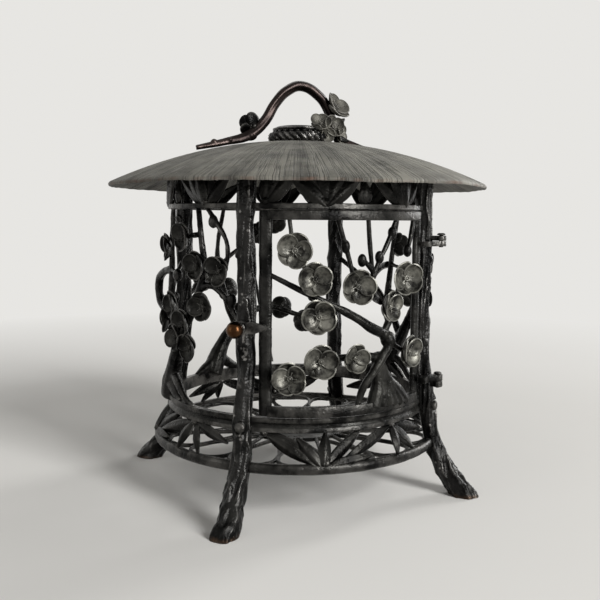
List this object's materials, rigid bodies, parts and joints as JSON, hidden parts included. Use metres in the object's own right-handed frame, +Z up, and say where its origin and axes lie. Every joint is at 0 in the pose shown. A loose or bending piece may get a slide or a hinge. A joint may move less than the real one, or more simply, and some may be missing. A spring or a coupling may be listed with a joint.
{
  "type": "openwork lantern",
  "caption": "Round openwork metal lantern on splayed branch posts, with an umbrella roof, an arched branch handle, a latched door and a grille floor.",
  "frame": {"origin": "on the ground, under the lantern's vertical axis", "axes": "+Z up along the lantern's axis; -Y out through the door's centre; +X to the door's hinged side"},
  "size_m": [0.22, 0.22, 0.2388],
  "materials": {
    "dark_patina": "cast bronze with a near-black patina, worn brown on its edges and feet",
    "roof_patina": "bronze sheet with a matt grey-olive patina, streaked from the crown to the rim",
    "polished_knob": "bronze rubbed bright brown by the hand"
  },
  "bodies": {
    "frame": {"roof": "roof_patina", "crown_ring": "dark_patina", "crown_cap": "dark_patina", "handle_branch": "dark_patina", "handle_blossom_left": "dark_patina", "handle_blossom_right": "dark_patina", "handle_blossom_cluster": "dark_patina", "top_hoop": "dark_patina", "upper_hoop": "dark_patina", "base_hoop": "dark_patina", "lower_hoop": "dark_patina", "floor_grille": "dark_patina", "post_front_left": "dark_patina", "post_front_right": "dark_patina", "post_back_right": "dark_patina", "post_back_left": "dark_patina", "post_rivet_front_left": "dark_patina", "post_rivet_front_right": "dark_patina", "post_rivet_back_right": "dark_patina", "post_rivet_back_left": "dark_patina", "frieze_leaves_front": "dark_patina", "frieze_leaves_right": "dark_patina", "frieze_leaves_back": "dark_patina", "frieze_leaves_left": "dark_patina", "skirt_leaves_front": "dark_patina", "skirt_leaves_right": "dark_patina", "skirt_leaves_back": "dark_patina", "skirt_leaves_left": "dark_patina", "plum_panel_left": "dark_patina", "plum_panel_back": "dark_patina", "plum_panel_right": "dark_patina", "hinge_bracket_upper": "dark_patina", "hinge_pin_upper": "dark_patina", "hinge_bracket_lower": "dark_patina", "hinge_pin_lower": "dark_patina"},
    "door": {"door_latch_stile": "dark_patina", "door_hinge_stile": "dark_patina", "door_top_rail": "dark_patina", "door_bottom_rail": "dark_patina", "door_plum_trunk": "dark_patina", "door_twig_middle": "dark_patina", "door_twig_right": "dark_patina", "door_twig_hinge": "dark_patina", "door_blossom_top_left": "dark_patina", "door_blossom_upper_left": "dark_patina", "door_blossom_upper_middle": "dark_patina", "door_blossom_upper_right": "dark_patina", "door_blossom_side": "dark_patina", "door_blossom_middle_left": "dark_patina", "door_blossom_lower_left": "dark_patina", "door_blossom_bottom_left": "dark_patina", "door_blossom_lower_middle": "dark_patina", "door_blossom_lower_right": "dark_patina", "hinge_strap_upper": "dark_patina", "hinge_strap_lower": "dark_patina", "latch_catch": "dark_patina"},
    "latch": {"latch_knob": "polished_knob", "latch_tongue": "dark_patina", "latch_washer": "dark_patina"}
  },
  "joints": [
    {"name": "door_swing", "type": "hinge", "parent": "frame", "child": "door", "pos_m": [0.0611, -0.0611, 0.1063], "axis": [0, 0, 1], "range_deg": [0, 110]},
    {"name": "latch_turn", "type": "hinge", "parent": "frame", "child": "latch", "pos_m": [-0.0601, -0.0601, 0.1025], "axis": [-0.7071, -0.7071, 0], "range_deg": [0, 90]}
  ]
}
